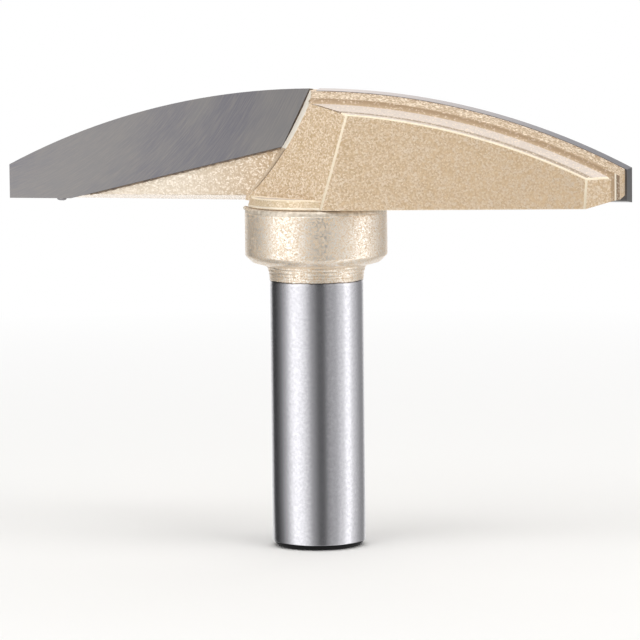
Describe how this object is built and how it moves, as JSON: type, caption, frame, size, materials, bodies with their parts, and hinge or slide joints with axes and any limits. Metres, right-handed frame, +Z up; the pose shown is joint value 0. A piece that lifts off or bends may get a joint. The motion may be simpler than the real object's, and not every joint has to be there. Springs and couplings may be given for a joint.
{
  "type": "router bit",
  "caption": "Two-wing router bit with a wide convex profile, carbide blades brazed to a coated steel body, and a plain round shank.",
  "frame": {"origin": "centre of the shank's end face, the lowest point of the bit standing on its shank", "axes": "+Z up the shank's axis to the crown of the cutter, X along the two wings, Y across them"},
  "size_m": [0.082, 0.0184, 0.059],
  "materials": {
    "ground_steel": "cylindrically ground steel, bare on the shank and coated on the collar",
    "gold_coat": "sprayed champagne gold metallic coat with fine sparkle",
    "silver_solder": "silver solder, slightly tarnished",
    "carbide": "diamond-ground tungsten carbide, matt grey with fine slanting marks"
  },
  "bodies": {
    "root": {"shank": "ground_steel", "cutter_body": "gold_coat", "collar_braze": "silver_solder", "blade_left": "carbide", "blade_right": "carbide", "braze_left": "silver_solder", "braze_right": "silver_solder"}
  },
  "joints": []
}
